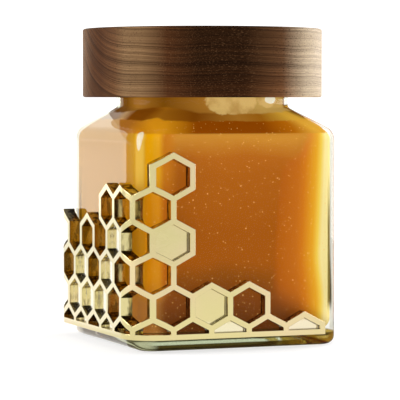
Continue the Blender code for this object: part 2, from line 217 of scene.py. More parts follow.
class HoneyJarColours(bpy.types.PropertyGroup):
    """Colours of the jar and its parts."""

    glass: colour_property("Glass", "Tint of the glass surface", WHITE)
    glass_depth: colour_property("Glass depth", "Colour that thick glass lets through", (0.43, 0.50, 0.23))
    # Painted shade: a dark line in the foot's rounding
    foot_shade_line: colour_property("Glass foot", "Dark line in the foot's rounding", (0.016, 0.007, 0.0005))
    glass_side: colour_property("Glass side", "Tint of the base under the left face", (0.72, 0.62, 0.50))
    # Painted shadow of the sleeve's bar, a line in the base just under the floor
    bar_shadow_line: colour_property("Glass line", "Line in the base just under the floor", (0.04, 0.03, 0.008))
    # Painted reflection of the honey in the base
    base_honey_reflection: colour_property("Glass end", "Honey's colour caught in the base", (0.26, 0.13, 0.006))
    # Painted shade: a dark olive line at the honey's outline
    edge_shade_line: colour_property("Glass edge", "Olive line where the honey ends", (0.055, 0.042, 0.012))
    # Painted grey reflection at the edge of the wall
    rim_reflection: colour_property("Glass rim", "Grey that the edge of the wall shows", (0.72, 0.71, 0.64))
    honey_floor: shown_property("Honey, floor", "Honey just over the floor", 104, 54, 18)
    honey_low: shown_property("Honey, low", "Honey low in a face", 134, 72, 26)
    honey_lower: shown_property("Honey, lower", "Honey in the lower part of a face", 150, 82, 20)
    honey_middle: shown_property("Honey, middle", "Honey in the middle of a face", 168, 89, 17)
    honey_upper: shown_property("Honey, upper", "Honey in the upper part of a face", 179, 98, 22)
    honey_below: shown_property("Honey, below", "Honey some way below the shoulder", 187, 105, 27)
    honey_high: shown_property("Honey, high", "Honey below the shoulder", 211, 143, 50)
    # Painted light: the left face's honey lighter, as lit from the left
    lit_left_honey: shown_property("Honey, left face", "Lighter honey of the left face", 188, 135, 22)
    # Painted sheen: pale honey under the left shoulder
    left_shoulder_sheen: shown_property("Honey, left face, high", "Pale honey under the left shoulder", 211, 172, 122)
    # Near corner: painted light through the thin honey, with a painted highlight and a bright painted fold
    near_low: shown_property("Near corner, low", "Honey in the near corner, low down", 182, 122, 56)
    near_deep: shown_property("Near corner, deep", "Fold of the near corner", 226, 145, 5)
    near_bright_fold: shown_property("Near corner, fold", "Bright fold high in the near corner", 243, 176, 6)
    near_middle: shown_property("Near corner, middle", "Honey in the near corner", 205, 142, 20)
    near_corner_highlight: shown_property("Near corner, high", "Honey high in the near corner", 238, 197, 84)
    near_front: shown_property("Near corner, front", "Honey in front of the near corner", 226, 148, 28)
    near_left: shown_property("Near corner, left", "Honey where the left face ends", 192, 127, 10)
    # Painted light through the thin honey near the right corner
    corner_start: shown_property("Right corner, start", "Honey of the face on its way to it", 182, 95, 16)
    corner_first: shown_property("Right corner, first", "Honey some way from a right corner", 199, 109, 25)
    corner_second: shown_property("Right corner, second", "Honey nearer to it", 214, 124, 26)
    corner_third: shown_property("Right corner, third", "Honey near it", 236, 168, 40)
    corner_fourth: shown_property("Right corner, fourth", "Honey close to it", 246, 207, 80)
    corner_last: shown_property("Right corner, last", "Thin honey at the very corner", 251, 231, 156)
    honey_base: shown_property("Honey, base", "Unlit honey on the floor of the jar", 66, 50, 22)
    # Painted light and shade round the shoulder: lit at the near and right corners, shaded in front
    shoulder_far: shown_property("Shoulder, far", "Shoulder at the left", 178, 115, 40)
    shoulder_lit: shown_property("Shoulder, bright", "Shoulder at the near corner", 216, 144, 22)
    shoulder_shaded: shown_property("Shoulder, dark", "Shoulder in front", 147, 71, 2)
    shoulder_amber: shown_property("Shoulder, amber", "Shoulder before the right corner", 188, 106, 10)
    shoulder_right: shown_property("Shoulder, right", "Shoulder at the right corner", 226, 166, 55)
    # Painted reflection: greyish honey at the far left
    far_left_reflection: shown_property("Shade, far", "Greyish honey at the far left", 188, 167, 154)
    shade_dark: shown_property("Shade, dark", "Shaded honey under the neck", 129, 70, 8)
    shade_light: shown_property("Shade, light", "Shaded honey where light comes through", 162, 101, 20)
    # Painted light on the slope at the right
    slope_lit_right: shown_property("Shade, right", "Honey of the slope at the right", 222, 171, 58)
    neck_dark: shown_property("Neck, dark", "Dark honey in the neck", 128, 78, 10)
    neck_light: shown_property("Neck, light", "Lighter honey in the neck", 174, 117, 40)
    neck_right: shown_property("Neck, right", "Honey at the right of the neck", 205, 165, 88)
    # Painted light: a pale patch on the neck
    neck_lit_patch: shown_property("Honey, patch", "Thin honey on the neck", 226, 188, 114)
    # Also the colour of the painted highlight on the near corner
    air_and_glint: shown_property("Honey, air", "Air beside the honey under the lid", 250, 242, 218)
    honey_crystal: shown_property("Honey, crystals", "Fine crystals in the honey", 250, 196, 104)
    # Painted light and shade round the lid; the darkest also fills the open pores
    walnut_pores_and_front_shade: shown_property("Walnut, dark", "Heartwood in front", 48, 27, 10)
    walnut_half_shade: shown_property("Walnut, deep", "Dark streaks at the left", 80, 48, 25)
    walnut_left_shade: shown_property("Walnut, edge", "Darker wood behind them", 76, 45, 23)
    walnut_middle: shown_property("Walnut, middle", "Plain heartwood", 102, 69, 42)
    walnut_left_sheen: shown_property("Walnut, light", "Shimmering wood at the left", 130, 101, 70)
    walnut_right_sheen: shown_property("Walnut, pale", "Pale wood at the right", 188, 168, 139)
    # Painted light caught in the pores in front
    pore_glint_colour: shown_property("Walnut, pores", "Dust in the open pores", 150, 108, 72)
    gold: shown_property("Gold", "Plating of the sleeve", 219, 206, 147)
    gold_warm: shown_property("Gold, warm", "Faint blush in the plating", 226, 205, 160)
    # Painted shade on the sides of the struts, lighter where a wall faces the near corner
    painted_side_shade: shown_property("Gold, sides", "Tarnish on the sides of the struts", 64, 42, 16)
    # Painted pale sheen in the left face's filled cells and on its fronts; the lowest plates in front take a
    # little of it
    gold_pale: shown_property("Gold, pale", "Pale plating in the left face's filled cells", 250, 245, 228)
    floor: colour_property("Floor", "Floor", (0.38, 0.38, 0.38))


class HoneyJarStudio(bpy.types.PropertyGroup):
    """Camera and light."""

    camera_turn: angle_property("Camera turn", "Angle of the camera to the left of the front face", 21.7)
    camera_distance: length_property("Camera distance", "From the jar's axis", 0.838)
    camera_height: length_property("Camera height", "Level with the lid's underside", 0.0881)
    camera_tilt: angle_property("Camera tilt", "Angle that it looks down", 2.56)
    camera_pan: angle_property("Camera pan", "Angle that it looks left", 0.057)
    lens: FloatProperty(name="Lens", description="Focal length in millimetres", default=206.6)


# Meshes


def grid_faces(rows, columns):
    """Quads of a grid whose columns close on themselves; each joins a point to the next row and column."""
    here = np.arange(rows - 1)[:, None] * columns + np.arange(columns)[None, :]
    right = np.arange(rows - 1)[:, None] * columns + (np.arange(columns)[None, :] + 1) % columns
    return np.stack([here, right, right + columns, here + columns], axis=-1).reshape(-1, 4)


def closed_skin(grid):
    """Points and faces of a stack of closed rings, with a flat cap on the first and on the last ring."""
    rows, columns = grid.shape[:2]
    faces = grid_faces(rows, columns).tolist()
    faces.append(list(range(columns - 1, -1, -1)))
    faces.append(list(range((rows - 1) * columns, rows * columns)))
    return grid.reshape(-1, 3), faces


def add_piece(name, points, faces, material, node, sharp_angle=35.0):
    """Make a mesh object from points and faces, and tie it to the frame."""
    mesh = bpy.data.meshes.new(name)
    mesh.from_pydata(np.asarray(points, float).tolist(), [], faces)
    mesh.validate()
    mesh.shade_smooth()
    mesh.set_sharp_from_angle(angle=math.radians(sharp_angle))
    mesh.materials.append(material)
    piece = bpy.data.objects.new(name, mesh)
    bpy.context.scene.collection.objects.link(piece)
    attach(piece, "root")
    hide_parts(node)
    return piece


def rounded_square_grid(half, corner, height, arc_steps=24):
    """Rings round a square with rounded corners, one for each station.

    In each quarter the points run along an arc, centre + corner * (cos a, sin a), and then
    along the straight side to the next arc.  A ring is a circle where half equals corner.
    """
    half, corner, height = (np.asarray(value, float)[:, None] for value in (half, corner, height))
    step = QUARTER_TURN / (arc_steps + 1)
    angle = (np.arange(arc_steps + 1) + 0.5) * step
    centre = half - corner
    arc_x = centre + corner * np.cos(angle)
    arc_y = centre + corner * np.sin(angle)
    share = np.array([0.05, 0.35, 0.65, 0.95])
    start_x, start_y = arc_x[:, -1:], arc_y[:, -1:]
    end_x, end_y = -arc_y[:, :1], arc_x[:, :1]
    side_x = start_x + (end_x - start_x) * share
    side_y = start_y + (end_y - start_y) * share
    x = np.concatenate([arc_x, side_x], axis=1)
    y = np.concatenate([arc_y, side_y], axis=1)
    quarters = [(x, y), (-y, x), (-x, -y), (y, -x)]
    ring_x = np.concatenate([quarter[0] for quarter in quarters], axis=1)
    ring_y = np.concatenate([quarter[1] for quarter in quarters], axis=1)
    return np.stack([ring_x, ring_y, np.broadcast_to(height, ring_x.shape)], axis=-1)


def foot_stations(half, corner, radius, floor, steps=9):
    """Stations of a quarter round: in from the wall by r(1 - sin t) and up by r(1 - cos t)."""
    turn = np.linspace(0.0, QUARTER_TURN, steps)
    inward = radius * (1.0 - np.sin(turn))
    rise = radius * (1.0 - np.cos(turn))
    inward = np.concatenate([[radius * 1.6, radius * 1.15], inward])
    rise = np.concatenate([[0.0, 0.0], rise])
    return half - inward, np.maximum(corner - inward, 0.25 * corner), floor + rise


def shoulder_stations(half, corner, neck, low, high, low_round, high_round, steps=9):
    """Stations up the shoulder: a fillet, a straight slope and a fillet, seen across the corners.

    The rounded square of the body turns into the circle of the neck in step with the distance in.
    """
    run = (half - corner) * math.sqrt(2.0) + corner - neck
    turn_end = QUARTER_TURN - math.atan2(high - low, run)
    turn = np.linspace(0.0, turn_end, steps)
    start = low - low_round * math.tan(turn_end / 2.0)
    end = high + high_round * math.tan(turn_end / 2.0)
    lower_in = low_round * (1.0 - np.cos(turn))
    lower_up = start + low_round * np.sin(turn)
    upper_in = run - high_round * (1.0 - np.cos(turn[::-1]))
    upper_up = end - high_round * np.sin(turn[::-1])
    share = np.array([0.1, 0.5, 0.9])
    slope_in = lower_in[-1] + (upper_in[0] - lower_in[-1]) * share
    slope_up = lower_up[-1] + (upper_up[0] - lower_up[-1]) * share
    blend = np.concatenate([lower_in, slope_in, upper_in]) / run
    rise = np.concatenate([lower_up, slope_up, upper_up])
    return half + (neck - half) * blend, corner + (neck - corner) * blend, rise


def body_stations(half, corner, bottom, top):
    """Stations up the straight body, with support rings close to both ends."""
    height = np.array([bottom + 1.2 * MM, (bottom + top) / 2.0, top - 1.2 * MM])
    return np.full(3, half), np.full(3, corner), height


def join_stations(*parts):
    """Sets of (half, corner, height) arrays, one after the other."""
    return tuple(np.concatenate(values) for values in zip(*parts))


def outer_stations(sizes):
    """Stations outside the jar: foot, body and shoulder up to the foot of the neck."""
    half = GLASS_HIGH.x
    foot = foot_stations(half, sizes.body_corner, sizes.base_round, GLASS_LOW.z)
    shoulder = shoulder_stations(
        half,
        sizes.body_corner,
        sizes.neck_radius,
        sizes.shoulder_low,
        sizes.shoulder_high,
        sizes.shoulder_round,
        sizes.neck_fillet,
    )
    body = body_stations(half, sizes.body_corner, foot[2][-1], shoulder[2][0])
    return join_stations(foot, body, shoulder)


def inner_stations(sizes, reach=0.0):
    """Stations inside the jar from the floor to the foot of the neck, let into the wall by reach."""
    inset = sizes.wall - reach
    half = GLASS_HIGH.x - inset
    corner = sizes.inner_corner + reach
    neck = sizes.neck_radius - sizes.neck_wall + reach
    drop = inset * SLOPE_SINK
    floor = HONEY_LOW.z - sizes.sleeve_gap - reach
    foot = foot_stations(half, corner, sizes.floor_round, floor)
    shoulder = shoulder_stations(
        half,
        corner,
        neck,
        sizes.shoulder_low - drop,
        sizes.shoulder_high - drop,
        sizes.shoulder_round - sizes.wall,
        sizes.neck_fillet,
    )
    body = body_stations(half, corner, foot[2][-1], shoulder[2][0])
    return join_stations(foot, body, shoulder)


def rim_stations(sizes, steps=9):
    """Stations over the rim: a half round between the outside and the inside of the neck."""
    radius = sizes.neck_wall / 2.0
    turn = np.linspace(0.0, math.pi, 2 * steps)
    middle = sizes.neck_radius - radius
    around = middle + radius * np.cos(turn)
    rise = GLASS_HIGH.z - radius + radius * np.sin(turn)
    return around, around, rise


# Materials


class Value:
    """A number, vector or colour in a node tree; arithmetic on a number adds Math nodes."""

    def __init__(self, tree, socket):
        self.tree = tree
        self.socket = socket

    def math(self, operation, *others):
        """Result of a Math node's operation on this value and others."""
        inputs = dict(enumerate((self, *others)))
        return output_of(self.tree, "ShaderNodeMath", 0, inputs, operation=operation)

    def __add__(self, other):
        return self.math("ADD", other)

    def __sub__(self, other):
        return self.math("SUBTRACT", other)

    def __mul__(self, other):
        return self.math("MULTIPLY", other)

    def __truediv__(self, other):
        return self.math("DIVIDE", other)

    def __abs__(self):
        return self.math("ABSOLUTE")

    def step(self, low, high):
        """From 0 at low to 1 at high, with soft ends; low may be the larger of the two."""
        inputs = {"Value": self, "From Min": low, "From Max": high}
        return output_of(self.tree, "ShaderNodeMapRange", "Result", inputs, interpolation_type="SMOOTHSTEP")

    def between(self, low, high, soft):
        """From 0 outside low and high to 1 between them, with soft ends."""
        return self.step(low - soft, low + soft) - self.step(high - soft, high + soft)


def set_inputs(tree, node, inputs):
    """Link a node's sockets or set their own values; a plain colour gets its alpha."""
    for key, value in inputs.items():
        socket = node.inputs[key]
        if isinstance(value, Value):
            tree.links.new(value.socket, socket)
        else:
            socket.default_value = (*value, 1.0) if socket.type == "RGBA" else value


def add_node(tree, kind, inputs=None, **settings):
    """Add a node, set its properties and fill its sockets."""
    made = tree.nodes.new(kind)
    for key, value in settings.items():
        setattr(made, key, value)
    set_inputs(tree, made, inputs or {})
    return made


def output_of(tree, kind, output, inputs=None, **settings):
    """One output of a new node, as a Value."""
    return Value(tree, add_node(tree, kind, inputs, **settings).outputs[output])


def mix_colour(share, first, second, blend="MIX"):
    """Mix two colours; the share or the first colour is a Value."""
    tree = share.tree if isinstance(share, Value) else first.tree
    inputs = {0: share, 6: first, 7: second}
    return output_of(tree, "ShaderNodeMix", 2, inputs, data_type="RGBA", blend_type=blend)


def tinted(colour, tint):
    """A colour times a plain one."""
    return mix_colour(1.0, colour, tint, blend="MULTIPLY")


def colour_ramp(share, stops):
    """Ramp through (place, colour) stops."""
    made = add_node(share.tree, "ShaderNodeValToRGB", {"Fac": share})
    elements = made.color_ramp.elements
    while len(elements) > 1:
        elements.remove(elements[-1])
    elements[0].position, elements[0].color = stops[0][0], (*stops[0][1], 1.0)
    for place, colour in stops[1:]:
        elements.new(place).color = (*colour, 1.0)
    return Value(share.tree, made.outputs["Color"])


def new_material(name):
    """Empty material with a Principled shader; returns material, tree and shader."""
    material = bpy.data.materials.new(name)
    material.use_nodes = True
    tree = material.node_tree
    return material, tree, tree.nodes["Principled BSDF"]


def object_place(tree):
    return output_of(tree, "ShaderNodeTexCoord", "Object")


def axes_of(place):
    """A place's x, y and height."""
    axes = add_node(place.tree, "ShaderNodeSeparateXYZ", {0: place})
    return [Value(place.tree, output) for output in axes.outputs]


def dot(place, direction):
    """How far a place lies along a direction."""
    return output_of(
        place.tree, "ShaderNodeVectorMath", "Value", {0: place, 1: direction}, operation="DOT_PRODUCT"
    )


def length_of(place):
    """Distance of a place from the origin."""
    return output_of(place.tree, "ShaderNodeVectorMath", "Value", {0: place}, operation="LENGTH")


def mapped(place, kind="POINT", **inputs):
    """A place moved, turned and scaled; with TEXTURE the pattern is moved and scaled instead."""
    return output_of(place.tree, "ShaderNodeMapping", 0, {"Vector": place, **inputs}, vector_type=kind)


def noise(tree, **inputs):
    """Noise around one half, over a vector or over W alone."""
    dimensions = "1D" if "W" in inputs else "3D"
    return output_of(tree, "ShaderNodeTexNoise", "Fac", inputs, noise_dimensions=dimensions)


def turned(degrees):
    """Share of a turn at an angle to the right of the front."""
    return 0.5 + degrees / DEGREES


def share_round_axis(x, y):
    """Angle round the upright axis as a share of a turn: a half in front, more to the right."""
    return x.math("ARCTAN2", y * -1.0) / FULL_TURN + 0.5


def turned_ramp(around, stops):
    """Ramp round the upright axis through (degrees to the right of the front, colour) stops."""
    return colour_ramp(around, [(turned(degrees), colour) for degrees, colour in stops])


def fine_unevenness_group():
    """Node group: soft uneven noise as a mask around one half, and one 7 times finer as a height."""
    name = "Fine unevenness"
    if name in bpy.data.node_groups:
        return bpy.data.node_groups[name]
    group = bpy.data.node_groups.new(name, "ShaderNodeTree")
    group.interface.new_socket("Place", in_out="INPUT", socket_type="NodeSocketVector")
    group.interface.new_socket("Scale", in_out="INPUT", socket_type="NodeSocketFloat")
    group.interface.new_socket("Mask", in_out="OUTPUT", socket_type="NodeSocketFloat")
    group.interface.new_socket("Height", in_out="OUTPUT", socket_type="NodeSocketFloat")
    source = group.nodes.new("NodeGroupInput")
    place, scale = (Value(group, source.outputs[key]) for key in ("Place", "Scale"))
    add_node(group, "NodeGroupOutput", {
        "Mask": noise(group, Vector=place, Scale=scale, Detail=3.0),
        "Height": noise(group, Vector=place, Scale=scale * 7.0, Detail=2.0),
    })
    return group


def unevenness(place, scale):
    """Mask and height of the shared unevenness."""
    made = add_node(
        place.tree, "ShaderNodeGroup", {"Place": place, "Scale": scale}, node_tree=fine_unevenness_group()
    )
    return Value(place.tree, made.outputs["Mask"]), Value(place.tree, made.outputs["Height"])


def glass_material(colours):
    """Clear glass, faintly green where it is thick, with a gloss that the front doesn't show.

    The foot's lines are painted shade, a ramp over the height.  A painted reflection and a painted
    dark line mark the edges of the wall where the place across the camera's view,
    dot((0.929, -0.370, 0)), comes near the body's outline.
    The gloss of the left shoulder ends where share round the axis * 3.6 - 0.8 passes the
    ramp of LEFT_GLOSS over the height.
    """
    material, tree, shader = new_material("clear_glass")
    place = object_place(tree)
    x, y, height = axes_of(place)
    # Painted shade in the foot's rounding, and a painted shadow of the sleeve's bar above it
    foot = colour_ramp(height / FOOT_SPAN, [
        (0.005, colours.glass),
        (0.03, colours.foot_shade_line),
        (0.27, colours.foot_shade_line),
        (0.31, colours.glass),
        (0.40, colours.glass),
        (0.44, colours.bar_shadow_line),
        (0.54, colours.bar_shadow_line),
        (0.60, colours.glass),
    ])
    foot = mix_colour(x.step(-0.031, -0.036), foot, colours.glass_side)
    # Painted reflection of the honey's colour in the base, towards the right
    mask, _ = unevenness(place, 150.0)
    caught = height.step(0.0050, 0.0040) * height.step(0.0004, 0.0010)
    foot = mix_colour(caught * x.step(0.012, 0.024) * mask.step(0.36, 0.50), foot, colours.base_honey_reflection)
    # Painted grey reflection at the edge of the wall, and a painted dark olive line inside it, wider low down
    outward = abs(dot(place, (0.929, -0.370, 0.0)))
    rim = outward.step(0.0450, 0.0458) * height.step(0.004, 0.006)
    foot = mix_colour(rim, foot, colours.rim_reflection)
    widened = outward - height.step(0.038, 0.016) * 0.0006
    line = widened.step(0.0459, 0.0451) * outward.step(0.0443, 0.0448)
    line = line * height.step(0.067, 0.042) * height.step(0.0105, 0.0160)
    # Gloss of the left shoulder, and of all that is behind
    edge = colour_ramp((height - GLOSS_FOOT) / GLOSS_SPAN, [(up, (share,) * 3) for up, share in LEFT_GLOSS])
    left = (edge - share_round_axis(x, y) * 3.6 + 0.8).step(-0.008, 0.008) * x.step(0.0, -0.01)
    behind = dot(place, (0.37, 0.93, 0.0)).step(-0.010, 0.005)
    set_inputs(tree, shader, {
        "Base Color": mix_colour(line, foot, colours.edge_shade_line),
        "Coat Weight": left.math("MAXIMUM", behind).math("MAXIMUM", FRONT_GLOSS),
        "Coat Roughness": 0.0,
        "Roughness": 0.0,
        "IOR": GLASS_IOR,
        "Transmission Weight": 1.0,
    })
    volume = add_node(tree, "ShaderNodeVolumeAbsorption", {"Color": colours.glass_depth, "Density": 20.0})
    tree.links.new(volume.outputs[0], tree.nodes["Material Output"].inputs["Volume"])
    return material


def honey_body_colour(colours, x, y, height, level):
    """Honey behind the four faces: by height, with painted light at the left and towards the upright corners.

    Nearer is the smaller of |x| and |y|, which grows towards a corner.  The place along the
    front and left faces is x - y, less its value in the near corner, as a share of NEAR_SPAN.
    """
    body = colour_ramp(level / LEVEL_SPAN, [
        (0.09, colours.honey_floor),
        (0.21, colours.honey_low),
        (0.32, colours.honey_lower),
        (0.385, colours.honey_middle),
        (0.52, colours.honey_middle),
        (0.76, colours.honey_upper),
        (0.83, colours.honey_below),
        (0.92, colours.honey_high),
    ])
    # Painted light through the thin honey of the right corner, which starts further out higher up
    nearer = abs(x).math("MINIMUM", abs(y)) + 0.0021 - height * 0.045
    nearer = nearer - height.step(0.034, 0.014) * 0.0024
    corner = colour_ramp(nearer / CORNER_SPAN, [
        (0.25, colours.honey_floor),
        (0.41, colours.corner_start),
        (0.60, colours.corner_first),
        (0.67, colours.corner_second),
        (0.785, colours.corner_third),
        (0.835, colours.corner_fourth),
        (0.88, colours.corner_last),
    ])
    corner_light_share = x.step(0.0, 0.01) * (level + nearer * 0.6).step(0.0205, 0.034)
    body = mix_colour(corner_light_share, body, corner, blend="LIGHTEN")
    # Painted light on the left face
    body = mix_colour(x.step(-0.0355, -0.0361), body, colours.lit_left_honey)
    # Near corner: painted light through the thin honey, brighter high up with a painted highlight
    # and a bright painted fold, and browner low down
    share = (x - y) / NEAR_SPAN + 0.7
    high = height.step(0.051, 0.063)
    low = level.step(0.027, 0.016)
    near = colour_ramp(share, [
        (0.355, colours.near_left),
        (0.52, colours.near_middle),
        (0.66, colours.near_middle),
        (0.725, colours.near_deep),
        (0.755, colours.near_deep),
        (0.78, colours.near_front),
        (0.84, colours.near_front),
        (0.89, colours.corner_first),
    ])
    # Painted light high up in the near corner
    near = mix_colour(high, near, tinted(near, (1.12, 1.36, 1.2)))
    near = mix_colour(high * share.between(0.51, 0.675, 0.035), near, colours.near_corner_highlight)
    near = mix_colour(high * share.between(0.685, 0.785, 0.025) * 0.8, near, colours.near_bright_fold)
    near = mix_colour(low, near, colours.near_low)
    weight = share.step(0.17, 0.27) * (share + low * 0.12).step(1.04, 0.90)
    body = mix_colour(weight, body, near)
    return mix_colour(height.step(0.0066, 0.0060), body, colours.honey_base)


def honey_neck_colour(colours, body, place, around, height, mask, fine):
    """Honey of the shoulder, with painted light and shade, the lens of painted shade above it and the
    neck, each a ramp round the axis.

    The lens begins at its foot, which is higher beside the near corner, and ends at its top,
    which rises there in a bell, exp(-(degrees from -52 / 22)^2).
    """
    # Painted light and shade round the shoulder
    shoulder = turned_ramp(around, [
        (-106.0, colours.shoulder_far),
        (-64.0, colours.shoulder_far),
        (-48.0, colours.shoulder_lit),
        (-40.0, colours.shoulder_lit),
        (-25.0, colours.shoulder_shaded),
        (16.0, colours.shoulder_shaded),
        (31.0, colours.shoulder_amber),
        (40.0, colours.shoulder_right),
    ])
    # Lens of painted shade under the neck, with a painted reflection and sheen at the far left and painted
    # light on the right slope
    shade = turned_ramp(around, [
        (-96.0, colours.far_left_reflection),
        (-84.0, colours.left_shoulder_sheen),
        (-72.0, colours.shade_dark),
        (-57.0, colours.shade_dark),
        (-48.0, colours.shade_light),
        (-26.0, colours.shade_dark),
        (2.0, colours.neck_light),
        (18.0, colours.shade_light),
        (38.0, colours.slope_lit_right),
        (47.0, colours.slope_lit_right),
        (56.0, colours.neck_dark),
    ])
    neck = turned_ramp(around, [
        (-90.0, colours.neck_dark),
        (-74.0, colours.neck_light),
        (-50.0, colours.neck_dark),
        (-20.0, colours.neck_light),
        (25.0, colours.neck_right),
        (56.0, colours.neck_right),
        (66.0, colours.neck_dark),
    ])
    foot = around.between(turned(-53.0), turned(-45.0), 5.0 / DEGREES) * 0.0012 + 0.0796
    off_middle = (around - turned(-52.0)) * (DEGREES / 22.0)
    top = (off_middle * off_middle * -1.0).math("EXPONENT") * 0.0022 + 0.0822
    wavy = height - 0.0008 + mask * 0.0016
    body = mix_colour(height.step(0.0751, 0.0757), body, shoulder)
    # Painted pale sheen in a wedge under the shoulder at the far left
    far_left_sheen_wedge = (around + (height - 0.0765) * 10.6).step(turned(-72.5), turned(-76.5))
    body = mix_colour(far_left_sheen_wedge * height.between(0.0722, 0.0830, 0.0010), body, colours.left_shoulder_sheen)
    body = mix_colour((wavy - foot).step(-0.0003, 0.0003), body, shade)
    body = mix_colour((wavy - top).step(-0.0004, 0.0004), body, neck)
    # Painted light, mottled, in the pale spots on the neck
    lit_mottle = mix_colour(mask.step(0.42, 0.66) * 0.5, colours.neck_lit_patch, colours.neck_light)
    for middle, radii, is_white in PALE_SPOTS:
        away = length_of(mapped(place, "TEXTURE", Location=middle, Scale=radii))
        away = away - 0.53 + mask * 0.9 + fine * 0.16
        body = mix_colour(away.step(1.08, 0.92), body, colours.air_and_glint if is_white else lit_mottle)
    return body


def honey_material(colours):
    """Opaque set honey with a painted glow, painted by height and place, with pale crystals."""
    material, tree, shader = new_material("amber_honey")
    place = object_place(tree)
    x, y, height = axes_of(place)
    mask, _ = unevenness(place, 38.0)
    small_mask, fine = unevenness(place, 160.0)
    level = height + mask * 0.010 - 0.005
    body = honey_body_colour(colours, x, y, height, level)
    body = honey_neck_colour(colours, body, place, share_round_axis(x, y), height, small_mask, fine)
    for scale, radius, weight in CRYSTALS:
        away = output_of(
            tree, "ShaderNodeTexVoronoi", "Distance", {"Vector": place, "Scale": scale, "Randomness": 1.0}
        )
        share = away.step(radius, 0.4 * radius) * weight * fine.step(0.41, 0.53)
        body = mix_colour(share * height.step(0.0805, 0.0785), body, colours.honey_crystal)
    set_inputs(tree, shader, {
        "Base Color": tinted(body, (0.5, 0.5, 0.5)),
        # Painted glow, standing in for light that passes through the honey
        "Emission Color": body,
        "Emission Strength": 0.62,
        "Roughness": 0.45,
        "Specular IOR Level": 0.0,
    })
    return material


def walnut_material(colours):
    """Walnut: rings level in front and bent up behind by 16 t^2, with long pores along the grain."""
    material, tree, shader = new_material("turned_walnut")
    place = object_place(tree)
    x, y, _ = axes_of(place)
    around = share_round_axis(x, y)
    turned_place = mapped(place, Rotation=(0.0, 0.0, math.radians(-8.0)), Location=(0.0, 0.0, -LID_LOW.z))
    _, across, height = axes_of(turned_place)
    # Rings, less marked towards the right
    back = (across + RING_BEND_START).math("MAXIMUM", 0.0)
    shift = noise(tree, Vector=turned_place, Scale=26.0, Detail=2.0) * 0.004 - 0.002
    ring = height - back * back * 16.0 + shift
    broad = noise(tree, W=ring, Scale=480.0, Detail=2.0)
    narrow = noise(tree, W=ring, Scale=3000.0, Detail=1.0)
    grain = (narrow * 0.45 + broad * 0.55).step(0.30, 0.72)
    fading = around.step(turned(20.0), turned(45.0)) * 0.5
    grain = grain - (grain - 0.5) * fading
    # Painted light and shade round the lid: shaded in front and at the far left, with a painted sheen at the
    # left and at the right
    wood = turned_ramp(around, [
        (-170.0, colours.walnut_middle),
        (-100.0, colours.walnut_middle),
        (-86.0, colours.walnut_left_shade),
        (-77.0, colours.walnut_left_shade),
        (-67.0, colours.walnut_middle),
        (-60.0, colours.walnut_left_sheen),
        (-51.0, colours.walnut_left_sheen),
        (-38.0, colours.walnut_half_shade),
        (-24.0, colours.walnut_pores_and_front_shade),
        (-2.0, colours.walnut_pores_and_front_shade),
        (19.0, colours.walnut_middle),
        (36.0, colours.walnut_right_sheen),
        (62.0, colours.walnut_right_sheen),
        (120.0, colours.walnut_middle),
    ])
    # The lid's top is plain heartwood, and its foot has painted light in front
    level_place = output_of(
        tree, "ShaderNodeVectorMath", "Vector", {0: place, 1: (1.0, 1.0, 0.0)}, operation="MULTIPLY"
    )
    on_top = length_of(level_place).step(LID_HIGH.x - 0.6 * MM, LID_HIGH.x - 2.6 * MM)
    wood = mix_colour(on_top, wood, colours.walnut_middle)
    foot = height.step(0.013, 0.003) * around.between(turned(-32.0), turned(25.0), 10.0 / DEGREES)
    wood = mix_colour(foot, wood, tinted(wood, (1.35, 1.25, 1.2)))
    colour = mix_colour(grain, tinted(wood, (0.42, 0.38, 0.34)), tinted(wood, (1.45, 1.42, 1.38)))
    # Pores, with painted light caught in them in front and dark elsewhere
    stretched = mapped(turned_place, Scale=(900.0, 3600.0, 4600.0))
    pore = noise(tree, Vector=stretched, Scale=1.0, Detail=1.0).step(0.58, 0.70)
    pore_glint_share = around.between(turned(-50.0), turned(10.0), 8.0 / DEGREES)
    colour = mix_colour(pore * pore_glint_share * 0.28, colour, colours.pore_glint_colour)
    colour = mix_colour(pore * (pore_glint_share * -0.85 + 0.85), colour, colours.walnut_pores_and_front_shade)
    mask, _ = unevenness(place, 90.0)
    relief = {"Height": grain - pore * 0.6, "Strength": 0.35, "Distance": 0.0002}
    set_inputs(tree, shader, {
        "Base Color": colour,
        "Roughness": mask * 0.2 + 0.36,
        "Normal": output_of(tree, "ShaderNodeBump", "Normal", relief),
        "Specular IOR Level": 0.03,
    })
    return material


def gold_material(colours):
    """Pale gold plating on a polished casting, faint blush, painted shade on its sides, painted pale sheen.
    """
    material, tree, shader = new_material("pale_gold")
    place = object_place(tree)
    mask, height = unevenness(place, 60.0)
    blush, _ = unevenness(place, 30.0)
    streak, _ = unevenness(mapped(place, Scale=(1.0, 1.0, 0.3)), 620.0)
    side = output_of(tree, "ShaderNodeAttribute", "Fac", attribute_name=PAINTED_TONE_ATTRIBUTE)
    colour = mix_colour(blush.step(0.40, 0.65), colours.gold, colours.gold_warm)
    # Painted shade on the sides of the struts, uneven in streaks
    uneven = (streak.step(0.42, 0.60) * 0.5 - 0.25) * side.step(0.0, 0.2)
    colour = mix_colour((side + uneven).step(0.1, 1.0), colour, colours.painted_side_shade)
    relief = {"Height": height, "Strength": 0.05, "Distance": 0.0002}
    # Painted pale sheen where the tone is below nought
    set_inputs(tree, shader, {
        "Base Color": mix_colour(side.step(0.0, -0.5), colour, colours.gold_pale),
        "Metallic": 1.0,
        "Roughness": mask * 0.12 + 0.07,
        "Normal": output_of(tree, "ShaderNodeBump", "Normal", relief),
    })
    return material


# Sleeve


def lattice_cells():
    """Arrays of every cell's place along the wrap, its row and whether it is filled."""
    listed = [(k, row, filled) for filled, rows in enumerate((OPEN_CELLS, FILLED_CELLS))
              for row in rows for k in rows[row]]
    cells = np.array(sorted(listed))
    return cells[:, 0].astype(float), cells[:, 1], cells[:, 2].astype(bool)


